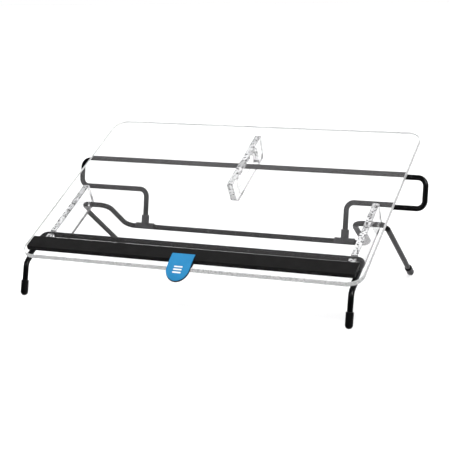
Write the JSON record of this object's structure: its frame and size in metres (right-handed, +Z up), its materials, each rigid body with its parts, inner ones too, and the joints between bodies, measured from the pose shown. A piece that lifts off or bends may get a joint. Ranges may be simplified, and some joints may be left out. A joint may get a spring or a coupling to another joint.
{
  "type": "portable drawing board",
  "caption": "Clear sloping board on a folding stand of bent steel rod, with a page ledge and a thumb tab at its front edge.",
  "frame": {"origin": "centre of the object's own box, on the table it stands on", "axes": "+X across the board to the user's right, +Y from the user towards the board's high rear edge, +Z up"},
  "size_m": [0.578, 0.3434, 0.2201],
  "materials": {
    "clear_board": "clear cast acrylic with polished edges",
    "clear_bracket": "clear moulded plastic, cemented on",
    "ledge": "fine matte texture",
    "tab_tongue": "matte",
    "tab_face": "satin blue",
    "grip_bars": "raised white print",
    "stand_rod": "black satin powder coat",
    "foot_cap": "soft black rubber",
    "prop_clip": "moulded dark grey plastic"
  },
  "bodies": {
    "board": {"board_panel": "clear_board", "side_plate_left": "clear_bracket", "side_plate_right": "clear_bracket", "notch_rack": "clear_bracket", "ledge_bar": "ledge", "tab_tongue": "tab_tongue", "tab_face": "tab_face", "tab_grip_bars": "grip_bars"},
    "front_frame": {"front_rod": "stand_rod", "front_foot_left": "foot_cap", "front_foot_right": "foot_cap"},
    "rear_frame": {"rear_rod": "stand_rod", "rear_foot_left": "foot_cap", "rear_foot_right": "foot_cap"},
    "prop": {"prop_rod": "stand_rod", "prop_clip_left": "prop_clip", "prop_clip_right": "prop_clip"}
  },
  "joints": [
    {"name": "front_frame_fold", "type": "hinge", "parent": "board", "child": "front_frame", "pos_m": [0, -0.09674, 0.07542], "axis": [1, 0, 0], "range_deg": [0, 150]},
    {"name": "rear_frame_swing", "type": "hinge", "parent": "board", "child": "rear_frame", "pos_m": [0, 0.01438, 0.10221], "axis": [1, 0, 0], "range_deg": [-16.4, 18]},
    {"name": "prop_swing", "type": "hinge", "parent": "rear_frame", "child": "prop", "pos_m": [0, 0.07716, 0.05939], "axis": [1, 0, 0], "range_deg": [-29.5, 27]}
  ],
  "couplings": [
    {"joint": "prop_swing", "follows": "rear_frame_swing", "ratio": -1.6081}
  ]
}
